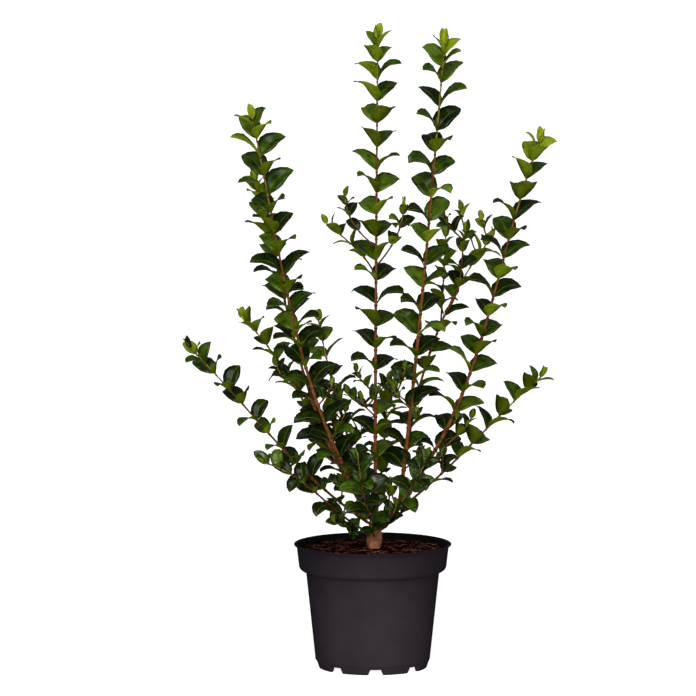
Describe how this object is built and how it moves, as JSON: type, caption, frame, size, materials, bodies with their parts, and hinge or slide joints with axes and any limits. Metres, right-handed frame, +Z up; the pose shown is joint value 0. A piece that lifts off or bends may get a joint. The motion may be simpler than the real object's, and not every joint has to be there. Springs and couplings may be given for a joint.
{
  "type": "potted privet shrub",
  "caption": "Upright evergreen privet shrub with paired glossy oval leaves on slender brown shoots, growing from peat in a round black nursery pot with a deep collar.",
  "frame": {"origin": "centre of the pot's foot, on the surface the pot stands on, which is also the bottom centre of the bounding box", "axes": "+Z up along the shrub, +X to the right as the picture shows it, +Y away from the front"},
  "size_m": [0.4492, 0.3231, 0.7735],
  "materials": {
    "pot_plastic": "matt black moulded plastic",
    "peat": "moist dark peat",
    "trunk_bark": "smooth young bark",
    "bough_bark": "smooth young bark",
    "foliage": "glossy evergreen leaves"
  },
  "bodies": {
    "root": {"bough_back_left": "bough_bark", "bough_back_middle": "bough_bark", "bough_back_right": "bough_bark", "bough_front_left": "bough_bark", "bough_front_low_left": "bough_bark", "bough_front_low_middle": "bough_bark", "bough_front_low_right": "bough_bark", "bough_front_middle": "bough_bark", "bough_front_right": "bough_bark", "bough_low_left": "bough_bark", "bough_low_right": "bough_bark", "bough_rear_left": "bough_bark", "bough_tall_inner_right": "bough_bark", "bough_tall_left": "bough_bark", "bough_tall_left_rear": "bough_bark", "bough_tall_middle": "bough_bark", "bough_tall_right": "bough_bark", "foliage_back_left": "foliage", "foliage_back_middle": "foliage", "foliage_back_right": "foliage", "foliage_front_left": "foliage", "foliage_front_low_left": "foliage", "foliage_front_low_middle": "foliage", "foliage_front_low_right": "foliage", "foliage_front_middle": "foliage", "foliage_front_right": "foliage", "foliage_low_left": "foliage", "foliage_low_right": "foliage", "foliage_rear_left": "foliage", "foliage_tall_inner_right": "foliage", "foliage_tall_left": "foliage", "foliage_tall_left_rear": "foliage", "foliage_tall_middle": "foliage", "foliage_tall_right": "foliage", "peat": "peat", "pot": "pot_plastic", "right_limb": "bough_bark", "trunk": "trunk_bark"}
  },
  "joints": []
}
